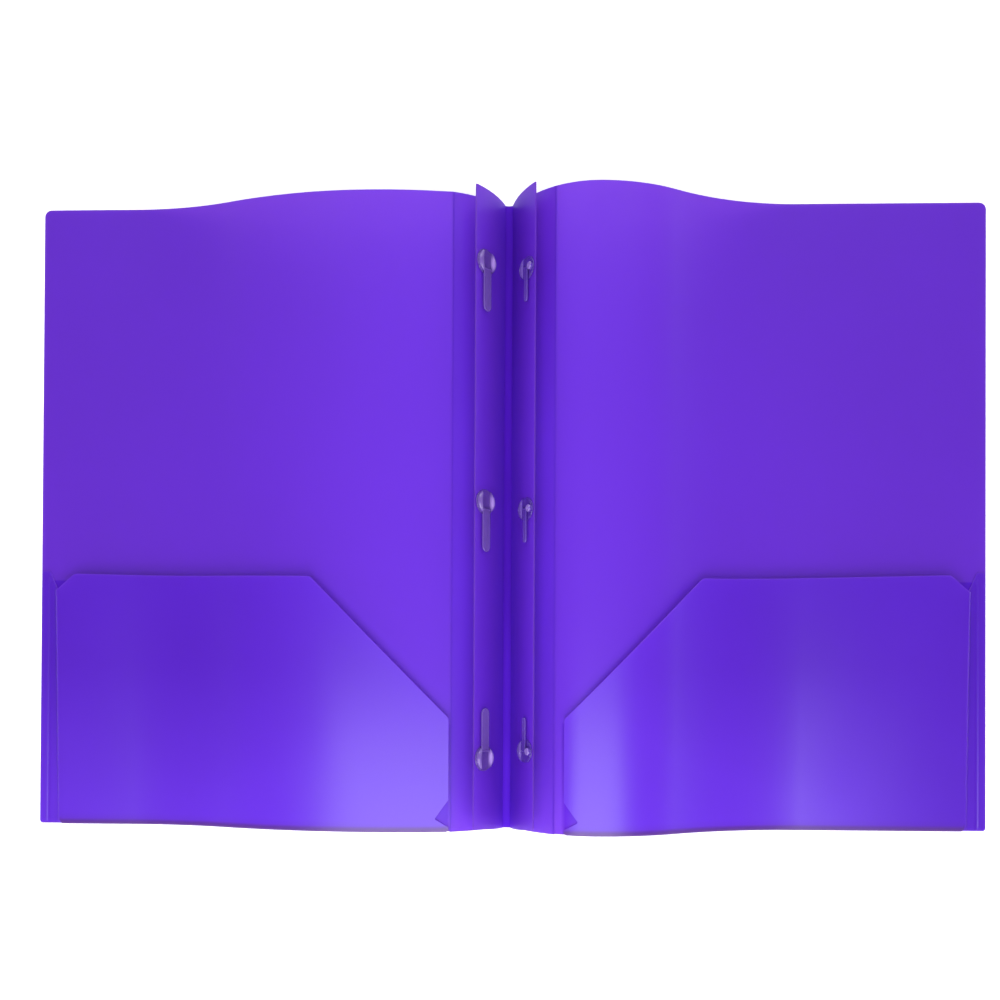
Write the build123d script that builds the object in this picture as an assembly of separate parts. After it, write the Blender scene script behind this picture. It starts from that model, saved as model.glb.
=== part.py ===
from build123d import *
import math
import os

# Two pocket plastic folder, lying open with its inside up.
# X runs across the folder, Y up the page, Z up from the table.
# The origin is under the middle of the spine, on the table. Millimetres.

# ---- driving dimensions -------------------------------------------------
HEIGHT = 290.0  # length of the spine, along Y
HALF_WIDTH = 220.0  # spine centre to outer edge, as it lies open
SHEET = 0.6  # cover sheet thickness
STRIP = 0.55  # fastener strip thickness
TOP_CORNER_R = 3.0  # rounded upper outer corners of the covers
LOW_CORNER_R = 1.2  # lower outer corners

# spine and its fold lines
SPINE_HALF = 3.3  # spine centre to each fold axis
SPINE_Z = 0.62  # height of the fold axes above the table
FOLD_BEAD_R = 0.5  # round bead on each fold axis
FOLD_GAP = 0.06  # running clearance round a bead

# hinge margins, between the spine folds and the score lines
MARGIN_CHORD = 25.7
MARGIN_R = 44.0
LEFT_MARGIN_DEG = 32.2  # chord above horizontal, as it lies open
RIGHT_MARGIN_DEG = 45.0

# cover bow: crest, and where the sheet comes down flat on the table
LEFT_CREST_X, LEFT_CREST_Z, LEFT_FLAT_X = 63.0, 17.0, 175.0
LEFT_CREST_R = 225.0
RIGHT_CREST_X, RIGHT_CREST_Z, RIGHT_FLAT_X = 40.4, 23.4, 135.0
RIGHT_CREST_R = 75.0

# fastener strip: two wings folded up from a weld line on the spine
WING_LOW = -142.6  # lower end of each wing at its tip; it slants down to the folder's lower edge at its root
WING_HALF = 2.0  # strip fold axes from the spine centre
WING_Z = 1.75
WING_BEAD_R = 0.4
WING_CHORD = 23.5
WING_R = 50.0
LEFT_WING_DEG = 58.0
RIGHT_WING_DEG = 64.0

# pockets
POCKET_TOP = -28.0  # Y of the mouth's outer end, 117 above the lower edge
POCKET_TOP_IN = -30.5  # Y of the mouth's inner end
POCKET_MOUTH_X = 88.0  # inner end of the mouth edge
POCKET_INNER_X = 25.9  # inner upright edge, just outside the score line
POCKET_SLOPE_Y = -93.6  # where the slanted edge meets the upright edge
POCKET_OUTER_X = 211.0
POCKET_CHAMFER_X = 201.5
POCKET_CHAMFER_Y = -36.2
NOTCH_X = 32.2  # apex of the V notch at the lower inner corner
NOTCH_Y = -139.1
NOTCH_TOP_Y = -130.3
NOTCH_LOW_Y = -142.7
LIFT_LOW = 1.05  # pocket sheet above the cover sheet, at the bottom fold
LIFT_MOUTH = 6.05  # the same, at the mouth
TAB_TOP_OUT = -26.2  # upper end of the side tab, slanting down to the pocket's corner
TAB_OUTER_X = 219.4

# fasteners, at the standard three-hole spacing
HOLE_SPACING = 108.0
LEFT_BOSS_ALONG, RIGHT_BOSS_ALONG = 17.5, 18.0  # from the strip's fold axis, along the wing's chord
LEFT_BOSS_R, LEFT_TANG_W, LEFT_TANG_L = 5.7, 5.2, 19.0
RIGHT_BOSS_R, RIGHT_TANG_W, RIGHT_TANG_L = 5.2, 2.8, 15.0
LEFT_BOSS_SHIFT = 3.4  # disc centre from the tang's axis, away from the tang
TANG_T = 0.5
PIN_GAP = 0.07  # running clearance of the tang's pins
STEM_R = 1.9
WING_HOLE_R = 2.1

Y0, Y1 = -HEIGHT / 2, HEIGHT / 2


# ---- section helpers ----------------------------------------------------
# A section is a list of arcs and lines that the middle of a sheet follows, in
# a, z: a is measured outwards from the spine, on whichever side it is.
def arc(cx, cz, r, a0, a1, below=True):
    return ("arc", cx, cz, r, a0, a1, below)


def line(p, q):
    return ("line", p, q)


def polar(cx, cz, r, a):
    return (cx + r * math.cos(a), cz + r * math.sin(a))


def face_edges(section, off, side, y, dz=0.0):
    """Edges of a section moved by off towards the inside of the folder."""
    edges, ends = [], []
    for s in section:
        if s[0] == "arc":
            _, cx, cz, r, a0, a1, below = s
            rr = r + off if below else r - off
            p, m, q = (polar(cx, cz, rr, a) for a in (a0, (a0 + a1) / 2, a1))
            v = [Vector(side * k[0], y, k[1] + dz) for k in (p, m, q)]
            edges.append(Edge.make_three_point_arc(*v))
            ends.append((v[0], v[2]))
        else:
            _, p, q = s
            d = math.hypot(q[0] - p[0], q[1] - p[1])
            n = (-(q[1] - p[1]) / d, (q[0] - p[0]) / d)
            v = [Vector(side * (k[0] + n[0] * off), y, k[1] + n[1] * off + dz) for k in (p, q)]
            edges.append(Edge.make_line(*v))
            ends.append((v[0], v[1]))
    return edges, ends[0][0], ends[-1][1]


def band_face(section, t, side, y, dz=0.0):
    """A sheet of thickness t about a section, as a face at y."""
    top, t0, t1 = face_edges(section, t / 2, side, y, dz)
    low, b0, b1 = face_edges(section, -t / 2, side, y, dz)
    return Face(Wire(top + low + [Edge.make_line(t0, b0), Edge.make_line(t1, b1)]))


def disc(a, z, r, side, y):
    plane = Plane(origin=(side * a, y, z), x_dir=(1, 0, 0), z_dir=(0, 1, 0))
    return Face(Wire(Edge.make_circle(r, plane)))


def along_y(face, length=HEIGHT, dz=0.0):
    return Solid.extrude(face, Vector(0, length, dz))


def rod(a, z, r, side, y=Y0, length=HEIGHT):
    return along_y(disc(a, z, r, side, y), length)


def chord_arc(a0, z0, deg, chord, r):
    """One arc that starts at a0, z0, bulging towards the inside of the folder, and its end point."""
    b = math.radians(deg)
    a1, z1 = a0 + chord * math.cos(b), z0 + chord * math.sin(b)
    h = math.sqrt(r * r - chord * chord / 4)
    cx = (a0 + a1) / 2 + h * math.sin(b)
    cz = (z0 + z1) / 2 - h * math.cos(b)
    s0, s1 = math.atan2(z0 - cz, a0 - cx), math.atan2(z1 - cz, a1 - cx)
    return arc(cx, cz, r, s0, s1), (a1, z1)


def cover_section(score, crest_x, crest_z, flat_x, r1):
    """From the score line over the crest, down to the table and out to the edge."""
    xs, zs = score
    z0 = SHEET / 2
    d, h = crest_x - xs, crest_z - zs
    ri = (d * d + h * h) / (2 * h)
    rise = crest_z - z0
    total = ((flat_x - crest_x) ** 2 + rise**2) / (2 * rise)
    r2 = total - r1
    c1, c2 = (crest_x, crest_z - r1), (flat_x, z0 + r2)
    turn = math.atan2(c2[1] - c1[1], c2[0] - c1[0])
    return [
        arc(crest_x, crest_z - ri, ri, math.atan2(zs - crest_z + ri, xs - crest_x), math.pi / 2),
        arc(*c1, r1, math.pi / 2, turn),
        arc(*c2, r2, turn - math.pi, -math.pi / 2, below=False),
        line((flat_x, z0), (HALF_WIDTH, z0)),
    ]


def plan_prism(points, z0=-5.0, z1=60.0):
    """An upright prism over an outline in the page."""
    face = Face(Wire.make_polygon([Vector(x, y, z0) for x, y in points], close=True))
    return Solid.extrude(face, Vector(0, 0, z1 - z0))


def one(shape):
    """The single solid of a boolean result."""
    solids = shape.solids()
    assert len(solids) == 1, len(solids)
    return solids[0]


def save(shape, name):
    s = one(shape)
    s.label = name
    export_step(s, f"parts/{name}.step")
    NODES[name] = s


NODES = {}
os.makedirs("parts", exist_ok=True)

# ---- spine --------------------------------------------------------------
spine = Solid.make_box(2 * SPINE_HALF, HEIGHT, SHEET, Plane((-SPINE_HALF, Y0, SPINE_Z - SHEET / 2)))
for side in (-1, 1):
    spine = spine + rod(SPINE_HALF, SPINE_Z, FOLD_BEAD_R, side)
save(spine, "spine")

# the welded foot of the fastener strip, between its two fold beads
foot_low = SPINE_Z + SHEET / 2
weld = Solid.make_box(2 * WING_HALF, HEIGHT, WING_Z + STRIP / 2 - foot_low, Plane((-WING_HALF, Y0, foot_low)))
for side in (-1, 1):
    weld = weld + rod(WING_HALF, WING_Z, WING_BEAD_R, side)
save(weld, "strip_weld")

SIDES = {
    "left": (-1, LEFT_MARGIN_DEG, (LEFT_CREST_X, LEFT_CREST_Z, LEFT_FLAT_X, LEFT_CREST_R), LEFT_WING_DEG, (LEFT_BOSS_R, LEFT_TANG_W, LEFT_TANG_L)),
    "right": (1, RIGHT_MARGIN_DEG, (RIGHT_CREST_X, RIGHT_CREST_Z, RIGHT_FLAT_X, RIGHT_CREST_R), RIGHT_WING_DEG, (RIGHT_BOSS_R, RIGHT_TANG_W, RIGHT_TANG_L)),
}
AXES = {}
GROW = 0.02  # so that a trimmed face doesn't lie on a cutting face

for name, (side, margin_deg, bow, wing_deg, boss_size) in SIDES.items():
    # ---- hinge margin ---------------------------------------------------
    margin_arc, score = chord_arc(SPINE_HALF, SPINE_Z, margin_deg, MARGIN_CHORD, MARGIN_R)
    AXES[name + "_score"] = (side * score[0], score[1])
    margin = along_y(band_face([margin_arc], SHEET, side, Y0))
    margin = margin + rod(*score, FOLD_BEAD_R, side)
    margin = margin - rod(SPINE_HALF, SPINE_Z, FOLD_BEAD_R + FOLD_GAP, side, Y0 - 1, HEIGHT + 2)
    save(margin, name + "_hinge_margin")

    # ---- cover ----------------------------------------------------------
    section = cover_section(score, *bow)
    cover = along_y(band_face(section, SHEET, side, Y0))
    cover = cover - rod(*score, FOLD_BEAD_R + FOLD_GAP, side, Y0 - 1, HEIGHT + 2)
    cover = one(cover)
    upright = [e for e in cover.edges().filter_by(Axis.Z) if abs(abs(e.center().X) - HALF_WIDTH) < 0.01]
    cover = cover.fillet(TOP_CORNER_R, [e for e in upright if e.center().Y > 0])
    upright = [e for e in cover.edges().filter_by(Axis.Z) if abs(abs(e.center().X) - HALF_WIDTH) < 0.01 and e.center().Y < Y0 + 1]
    cover = cover.fillet(LOW_CORNER_R, upright)
    save(cover, name + "_cover")

    # ---- pocket ---------------------------------------------------------
    # the sheet follows the cover's bow and stands further off it towards the mouth
    rise = LIFT_MOUTH - LIFT_LOW
    flap = along_y(band_face(section, SHEET, side, Y0, LIFT_LOW), POCKET_TOP - Y0, rise)
    top, t0, t1 = face_edges(section, SHEET / 2, side, Y0)
    raised, r0, r1 = face_edges(section, SHEET / 2, side, Y0, LIFT_LOW)
    fold = Face(Wire(top + raised + [Edge.make_line(t0, r0), Edge.make_line(t1, r1)]))
    fold = along_y(fold, SHEET)
    outline = [
        (POCKET_INNER_X, Y0 - GROW - 1),
        (POCKET_INNER_X, NOTCH_LOW_Y),
        (NOTCH_X, NOTCH_Y),
        (POCKET_INNER_X, NOTCH_TOP_Y),
        (POCKET_INNER_X, POCKET_SLOPE_Y),
        (POCKET_MOUTH_X, POCKET_TOP_IN),
        (POCKET_CHAMFER_X, POCKET_TOP + GROW),
        (POCKET_OUTER_X, POCKET_CHAMFER_Y),
        (POCKET_OUTER_X, Y0 - GROW - 1),
    ]
    pocket = (flap + fold) & plan_prism([(side * x, y) for x, y in outline])
    save(pocket, name + "_pocket")

    # ---- side tab: a strip welded along the cover's outer edge, and the
    # wedge-shaped wall that carries the pocket's outer edge --------------
    low = Y0 + SHEET

    def lift(y):
        return LIFT_LOW + rise * (y - Y0) / (POCKET_TOP - Y0)

    wall = Face(
        Wire.make_polygon(
            [
                Vector(side * (POCKET_OUTER_X - SHEET), y, z)
                for y, z in (
                    (low, SHEET),
                    (POCKET_CHAMFER_Y, SHEET),
                    (POCKET_CHAMFER_Y, lift(POCKET_CHAMFER_Y)),
                    (low, lift(low)),
                )
            ],
            close=True,
        )
    )
    wall = Solid.extrude(wall, Vector(side * SHEET, 0, 0))
    strip = Face(
        Wire.make_polygon(
            [
                Vector(side * x, y, SHEET)
                for x, y in (
                    (POCKET_OUTER_X, low),
                    (TAB_OUTER_X, low),
                    (TAB_OUTER_X, TAB_TOP_OUT),
                    (TAB_OUTER_X - 3.5, TAB_TOP_OUT),
                    (POCKET_OUTER_X, POCKET_CHAMFER_Y),
                )
            ],
            close=True,
        )
    )
    strip = Solid.extrude(strip, Vector(0, 0, SHEET))
    save(wall + strip, name + "_side_tab")

    # ---- strip wing, bosses and tangs -----------------------------------
    wing_arc, tip = chord_arc(WING_HALF, WING_Z, wing_deg, WING_CHORD, WING_R)
    AXES[name + "_wing_tip"] = (side * tip[0], tip[1])
    wing = along_y(band_face([wing_arc], STRIP, side, Y0))
    slant = (WING_LOW - Y0) / (tip[0] - WING_HALF)
    end = [(WING_HALF - 0.5, Y0 - 0.5 * slant), (tip[0] + 2, WING_LOW + 2 * slant), (tip[0] + 2, Y0 - 3), (WING_HALF - 0.5, Y0 - 3)]
    wing = wing - plan_prism([(side * x, y) for x, y in end])
    wing = wing - rod(WING_HALF, WING_Z, WING_BEAD_R + FOLD_GAP, side, Y0 - 1, HEIGHT + 2)
    _, cx, cz, r, s0, s1, _ = wing_arc
    spot = s0 + (s1 - s0) * (LEFT_BOSS_ALONG if name == "left" else RIGHT_BOSS_ALONG) / WING_CHORD
    px, pz = polar(cx, cz, r, spot)
    normal = Vector(side * math.cos(spot), 0, math.sin(spot))
    u = Vector(normal.Z, 0, -normal.X)  # across the wing, so that Y stays up the page
    boss_r, tang_w, tang_l = boss_size
    big = name == "left"
    flange_top = 0.9 if big else 0.8
    lobe_top = 2.6 if big else 2.2
    bead_r = 0.5 if big else 0.45
    axis_w = flange_top + 0.05 + bead_r
    pin_r = 0.35 if big else 0.32
    slot = tang_w + 0.3
    for row, y in (("upper", HOLE_SPACING), ("middle", 0.0), ("lower", -HOLE_SPACING)):
        plane = Plane(origin=(side * px, y, pz), x_dir=u, z_dir=normal)
        place = plane.location
        shift = (LEFT_BOSS_SHIFT if big else 0.0) * (-1 if row == "lower" else 1)
        wing = wing - place * (Pos(0, shift, -1) * Cylinder(WING_HOLE_R, 4))

        at = (Align.CENTER, Align.CENTER, Align.MIN)
        lobes = Pos(0, shift, flange_top - 0.1) * Cylinder(boss_r - 0.3, lobe_top - flange_top + 0.1, align=at)
        lobes = fillet(lobes.edges().group_by(Axis.Z)[-1], 0.45)
        lobes = lobes - Pos(0, 0, flange_top) * Box(slot, 4 * boss_r, 4, align=at)
        boss = Pos(0, shift, 0.3) * Cylinder(boss_r, flange_top - 0.3, align=at)
        boss = chamfer(boss.edges().group_by(Axis.Z)[-1], 0.18)
        boss = boss + lobes
        boss = boss + Pos(0, shift, -0.6) * Cylinder(STEM_R, 1.0, align=at)
        boss = boss + Pos(0, shift, -0.95) * Cylinder(3.4 if big else 3.0, 0.5, align=at)
        pin_len = tang_w + 2 * 0.9
        across = Pos(0, 0, axis_w) * Rot(0, 90, 0)
        boss = boss - across * Cylinder(pin_r + PIN_GAP, pin_len + 0.2)
        save(place * boss, f"{row}_{name}_boss")

        turn = 180 if row == "lower" else 0
        body = Rectangle(tang_w, tang_l - tang_w / 2, align=(Align.CENTER, Align.MAX))
        body = body + Pos(0, -(tang_l - tang_w / 2)) * Circle(tang_w / 2)
        tang = Pos(0, 0, axis_w - TANG_T / 2) * extrude(body, TANG_T)
        tang = tang + across * Cylinder(bead_r, tang_w)
        tang = tang + across * Cylinder(pin_r, pin_len)
        save(place * (Rot(0, 0, turn) * tang), f"{row}_{name}_tang")
        AXES[f"{row}_{name}_tang"] = tuple(plane.from_local_coords((0, 0, axis_w)))
        AXES[f"{row}_{name}_tang_u"] = tuple(u)
    save(wing, f"strip_{name}_wing")

for k, v in AXES.items():
    print(k, [round(c, 4) for c in v])
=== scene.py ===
import math

import bpy
import numpy as np
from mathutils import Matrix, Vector
from mathutils.geometry import delaunay_2d_cdt


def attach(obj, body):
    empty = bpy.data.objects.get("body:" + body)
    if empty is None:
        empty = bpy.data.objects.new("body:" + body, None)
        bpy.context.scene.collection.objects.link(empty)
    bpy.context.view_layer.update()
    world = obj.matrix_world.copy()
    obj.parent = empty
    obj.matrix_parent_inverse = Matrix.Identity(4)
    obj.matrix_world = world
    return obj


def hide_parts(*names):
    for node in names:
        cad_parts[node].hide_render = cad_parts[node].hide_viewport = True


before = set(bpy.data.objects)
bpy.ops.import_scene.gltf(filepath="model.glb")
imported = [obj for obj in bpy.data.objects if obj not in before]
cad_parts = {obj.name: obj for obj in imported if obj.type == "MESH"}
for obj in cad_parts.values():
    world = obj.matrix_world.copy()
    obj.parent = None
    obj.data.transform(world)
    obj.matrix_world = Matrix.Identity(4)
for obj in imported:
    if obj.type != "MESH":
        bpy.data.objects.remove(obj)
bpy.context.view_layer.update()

# Looks of an open two pocket plastic folder with a tang strip along its spine.
# Shapes are worked out in millimetres and put down in metres.
MM = 0.001

# ---- the folder's dimensions, as modelled --------------------------------
HEIGHT, HALF_WIDTH = 290.0, 220.0
Y0, Y1 = -HEIGHT / 2, HEIGHT / 2
SHEET, STRIP = 0.6, 0.55
SPINE_HALF, SPINE_Z = 3.3, 0.62
MARGIN_CHORD, MARGIN_R = 25.7, 44.0
WING_HALF, WING_Z, WING_CHORD, WING_R = 2.0, 1.75, 23.5, 50.0
WING_LOW = -142.6
MOUTH_Y, MOUTH_IN_Y = -28.0, -30.5
LIFT_LOW, LIFT_MOUTH = 1.05, 6.05
TAB_X0, TAB_X1, TAB_OUT = 209.9, 211.6, 219.4
SIDES = {
    "left": dict(side=-1, margin=32.2, crest=(63.0, 17.0), flat=175.0, crest_r=225.0, wing=58.0, boss=17.5),
    "right": dict(side=1, margin=45.0, crest=(40.4, 23.4), flat=135.0, crest_r=75.0, wing=64.0, boss=18.0),
}
ROWS = {"upper": 108.0, "middle": 0.0, "lower": -108.0}


# ---- sections: arcs and lines that the middle of a sheet follows ----------
def chord_arc(a0, z0, deg, chord, r):
    b = math.radians(deg)
    a1, z1 = a0 + chord * math.cos(b), z0 + chord * math.sin(b)
    h = math.sqrt(r * r - chord * chord / 4)
    cx, cz = (a0 + a1) / 2 + h * math.sin(b), (z0 + z1) / 2 - h * math.cos(b)
    return ("arc", cx, cz, r, math.atan2(z0 - cz, a0 - cx), math.atan2(z1 - cz, a1 - cx), 1.0), (a1, z1)


def cover_section(score, crest, flat, r1):
    (xs, zs), (xc, zc), z0 = score, crest, SHEET / 2
    d, h = xc - xs, zc - zs
    ri = (d * d + h * h) / (2 * h)
    rise = zc - z0
    r2 = ((flat - xc) ** 2 + rise**2) / (2 * rise) - r1
    c1, c2 = (xc, zc - r1), (flat, z0 + r2)
    turn = math.atan2(c2[1] - c1[1], c2[0] - c1[0])
    return [
        ("arc", xc, zc - ri, ri, math.atan2(zs - zc + ri, xs - xc), math.pi / 2, 1.0),
        ("arc", c1[0], c1[1], r1, math.pi / 2, turn, 1.0),
        ("arc", c2[0], c2[1], r2, turn - math.pi, -math.pi / 2, -1.0),
        ("line", (flat, z0), (HALF_WIDTH, z0)),
    ]


def lengths(section):
    return [abs(g[5] - g[4]) * g[3] if g[0] == "arc" else math.dist(g[1], g[2]) for g in section]


def along(section, s):
    """a, z and the inward normal of a section at distance s from its start; it runs on straight past its ends."""
    s = np.asarray(s, float)
    a, z, na, nz = (np.zeros_like(s) for _ in range(4))
    start, sizes = 0.0, lengths(section)
    for i, (g, size) in enumerate(zip(section, sizes)):
        lo = -1e9 if i == 0 else start
        hi = 1e9 if i == len(section) - 1 else start + size
        on = (s >= lo) & (s < hi)
        k = s[on] - start
        if g[0] == "arc":
            _, cx, cz, r, a0, a1, up = g
            kk = np.clip(k, 0, size)
            t = a0 + (a1 - a0) * kk / size
            over = k - kk
            d = math.copysign(1.0, a1 - a0)
            a[on] = cx + r * np.cos(t) - np.sin(t) * d * over
            z[on] = cz + r * np.sin(t) + np.cos(t) * d * over
            na[on], nz[on] = up * np.cos(t), up * np.sin(t)
        else:
            (pa, pz), (qa, qz) = g[1], g[2]
            ta, tz = (qa - pa) / size, (qz - pz) / size
            a[on], z[on], na[on], nz[on] = pa + ta * k, pz + tz * k, -tz, ta
        start += size
    return a, z, na, nz


def s_at(section, x):
    """Distance along a section at which it is x out from the spine."""
    s = np.linspace(-2, sum(lengths(section)) + 2, 6000)
    return np.interp(x, along(section, s)[0], s)


# ---- meshes ---------------------------------------------------------------
def finish_mesh(name, verts, faces, body, node, material, normals=None, attrs=None, sharp=None):
    me = bpy.data.meshes.new(name)
    me.from_pydata((np.asarray(verts, float) * MM).tolist(), [], [tuple(int(i) for i in f) for f in faces])
    me.update()
    me.polygons.foreach_set("use_smooth", [True] * len(me.polygons))
    for key, values in (attrs or {}).items():
        values = np.asarray(values, np.float32)
        kind, field = ("FLOAT_VECTOR", "vector") if values.ndim == 2 else ("FLOAT", "value")
        me.attributes.new(key, kind, "POINT").data.foreach_set(field, values.ravel())
    if sharp:
        me.set_sharp_from_angle(angle=math.radians(sharp))
    if normals is not None:
        n = np.asarray(normals, float)
        me.normals_split_custom_set_from_vertices((n / np.linalg.norm(n, axis=1, keepdims=True)).tolist())
    o = bpy.data.objects.new(name, me)
    bpy.context.scene.collection.objects.link(o)
    me.materials.append(material)
    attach(o, body)
    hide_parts(node)
    return o


def inside(points, loops):
    """Which points lie within closed loops, holes left out."""
    x, y = points[:, 0], points[:, 1]
    odd = np.zeros(len(points), bool)
    for loop in loops:
        p, q = loop, np.roll(loop, -1, axis=0)
        for (x0, y0), (x1, y1) in zip(p, q):
            if y0 == y1:
                continue
            odd ^= ((y0 > y) != (y1 > y)) & (x < (x1 - x0) * (y - y0) / (y1 - y0) + x0)
    return odd


def within(flat, tris, outline, loops):
    """Which triangles lie within the loops: they are sorted into areas that only outline edges part. An area with another free edge is outside; the rest are judged by their largest triangle."""
    parent = list(range(len(tris)))

    def root(i):
        while parent[i] != i:
            parent[i] = parent[parent[i]]
            i = parent[i]
        return i

    first, shared = {}, set()
    for k, f in enumerate(tris.tolist()):
        for a, b in ((f[0], f[1]), (f[1], f[2]), (f[2], f[0])):
            e = frozenset((a, b))
            if e in outline:
                continue
            if e in first:
                parent[root(k)] = root(first[e])
                shared.add(e)
            else:
                first[e] = k
    d1, d2 = flat[tris[:, 1]] - flat[tris[:, 0]], flat[tris[:, 2]] - flat[tris[:, 0]]
    size = np.abs(d1[:, 0] * d2[:, 1] - d1[:, 1] * d2[:, 0])
    area = np.array([root(k) for k in range(len(tris))])
    keep = np.zeros(len(tris), bool)
    past = {root(k) for e, k in first.items() if e not in shared}
    for r in np.unique(area):
        if r in past:
            continue
        members = np.flatnonzero(area == r)
        big = members[np.argmax(size[members])]
        keep[members] = inside(flat[tris[big]].mean(0)[None], loops)[0]
    return keep


def near(points, loops):
    """Distance of each point from the loops."""
    best = np.full(len(points), 1e9)
    for loop in loops:
        p, q = loop, np.roll(loop, -1, axis=0)
        for a, b in zip(p, q):
            d = b - a
            t = np.clip(((points - a) @ d) / max(d @ d, 1e-12), 0, 1)
            best = np.minimum(best, np.linalg.norm(points - a - t[:, None] * d, axis=1))
    return best


def divide(loop, step):
    """A closed loop with its sides cut to at most step."""
    loop = np.asarray(loop, float)
    out = []
    for a, b in zip(loop, np.roll(loop, -1, axis=0)):
        n = max(1, math.ceil(np.linalg.norm(b - a) / step))
        out += [a + (b - a) * k / n for k in range(n)]
    return np.array(out)


def rounded(loop, radii, n=6):
    """A loop with corner i rounded to radii[i]."""
    out, m = [], len(loop)
    for i in range(m):
        p, a, b = (np.array(loop[k % m], float) for k in (i, i - 1, i + 1))
        r = radii.get(i, 0)
        if not r:
            out.append(p)
            continue
        u, v = (a - p) / np.linalg.norm(a - p), (b - p) / np.linalg.norm(b - p)
        half = math.acos(max(-1, min(1, float(u @ v)))) / 2
        t = r / math.tan(half)
        c = p + (u + v) / np.linalg.norm(u + v) * r / math.sin(half)
        e0, e1 = p + u * t - c, p + v * t - c
        turn = math.atan2(e0[0] * e1[1] - e0[1] * e1[0], float(e0 @ e1))
        for k in range(n + 1):
            w = turn * k / n
            out.append(c + [e0[0] * math.cos(w) - e0[1] * math.sin(w), e0[0] * math.sin(w) + e0[1] * math.cos(w)])
    return np.array(out)


def sheet_mesh(point, loops, s_lines, y_lines, t, edge=0.2, square=0.6, hinge=None, keep=0.5, unit_s=1.0):
    """A thin sheet over loops in s, y. point gives the place and normal of its middle; hinge says where the edge is a full round."""
    boundary = np.concatenate(loops)
    grid = np.array([(s, y) for s in s_lines for y in y_lines])
    scale = np.array([unit_s, 1.0])
    grid = grid[inside(grid, loops)]
    grid = grid[near(grid * scale, [l * scale for l in loops]) > keep]
    pts = np.concatenate([boundary, grid])
    edges, start, rings = [], 0, []
    for l in loops:
        ring = list(range(start, start + len(l)))
        rings.append(ring)
        edges += [(ring[k], ring[(k + 1) % len(ring)]) for k in range(len(ring))]
        start += len(l)
    got = delaunay_2d_cdt([Vector((float(p[0] * unit_s), float(p[1]))) for p in pts], edges, [], 0, 1e-7)
    flat = np.array([(v.x / unit_s, v.y) for v in got[0]])
    index = {}
    for new, olds in enumerate(got[3]):
        for old in olds:
            index[old] = new
    tris = np.array([f for f in got[2]])
    tris = tris[within(flat, tris, {frozenset((index[a], index[b])) for a, b in edges}, loops)]
    P, N = point(flat[:, 0], flat[:, 1])
    e = 0.02
    T = point(flat[:, 0] + e / unit_s, flat[:, 1])[0] - point(flat[:, 0] - e / unit_s, flat[:, 1])[0]
    V = point(flat[:, 0], flat[:, 1] + e)[0] - point(flat[:, 0], flat[:, 1] - e)[0]
    T /= np.linalg.norm(T, axis=1, keepdims=True)
    V /= np.linalg.norm(V, axis=1, keepdims=True)
    n = len(flat)
    verts = [P + N * t / 2, P - N * t / 2]
    norms = [N, -N]
    flats, rim = [flat, flat], [np.zeros(2 * n)]
    faces = [tuple(f) for f in tris] + [tuple(int(i) + n for i in f[::-1]) for f in tris]
    count = 2 * n
    angles = np.radians([72, 45, 15, -15, -45, -72])
    for ring, loop in zip(rings, loops):
        ids = np.array([index[i] for i in ring])
        d = (np.roll(loop, -1, axis=0) - loop) * scale
        out = np.stack([d[:, 1], -d[:, 0]], 1) / np.linalg.norm(d, axis=1, keepdims=True)
        both = out + np.roll(out, 1, axis=0)
        size = np.maximum(np.linalg.norm(both, axis=1, keepdims=True), 0.9)
        both = both / size * (2 / size)
        O = both[:, :1] * T[ids] + both[:, 1:] * V[ids]
        full = np.zeros(len(ids), bool) if hinge is None else hinge(loop[:, 0], loop[:, 1])
        reach = np.where(full, t / 2, edge)[:, None]
        power = np.where(full, 1.0, square)[:, None]
        rows = [ids]
        for w in angles:
            c, s = abs(math.cos(w)) ** power, math.copysign(1, math.sin(w)) * abs(math.sin(w)) ** power
            verts.append(P[ids] + O * reach * c + N[ids] * (t / 2) * s)
            norms.append(O * math.cos(w) + N[ids] * math.sin(w))
            flats.append(loop)
            rim.append(np.ones(len(ids)))
            rows.append(np.arange(count, count + len(ids)))
            count += len(ids)
        rows.append(ids + n)
        for a, b in zip(rows, rows[1:]):
            for k in range(len(ids)):
                j = (k + 1) % len(ids)
                faces.append((a[k], b[k], b[j], a[j]))
    verts, norms = np.concatenate(verts), np.concatenate(norms)
    f = faces[0]
    if np.cross(verts[f[1]] - verts[f[0]], verts[f[2]] - verts[f[0]]) @ norms[f[0]] < 0:
        faces = [tuple(reversed(k)) for k in faces]
    flats = np.concatenate(flats)
    return verts, faces, norms, flats, np.concatenate(rim)


def wave(s, y, seed, size):
    """A faint, fixed unevenness of a sheet that has been folded and carried about, in mm."""
    a, b, c = seed
    return size * (
        np.sin(s / 11.3 + a) * np.sin(y / 18.0 + b)
        + 0.6 * np.sin(s / 5.9 - y / 25.0 + c)
        + 0.4 * np.sin(s / 24.4 + y / 9.7 + a + c)
        + 2.0
    )


def with_wave(point, w):
    """point, moved along its normal by w, with the normal turned to match."""

    def moved(s, y):
        P, N = point(s, y)
        e = 0.25
        P2 = P + N * w(s, y)[:, None]
        a, an = point(s + e, y)
        b, bn = point(s - e, y)
        c, cn = point(s, y + e)
        d, dn = point(s, y - e)
        T = (a + an * w(s + e, y)[:, None]) - (b + bn * w(s - e, y)[:, None])
        V = (c + cn * w(s, y + e)[:, None]) - (d + dn * w(s, y - e)[:, None])
        M = np.cross(T, V)
        M /= np.linalg.norm(M, axis=1, keepdims=True)
        M *= np.sign((M * N).sum(1, keepdims=True))
        return P2, M

    return moved


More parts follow.
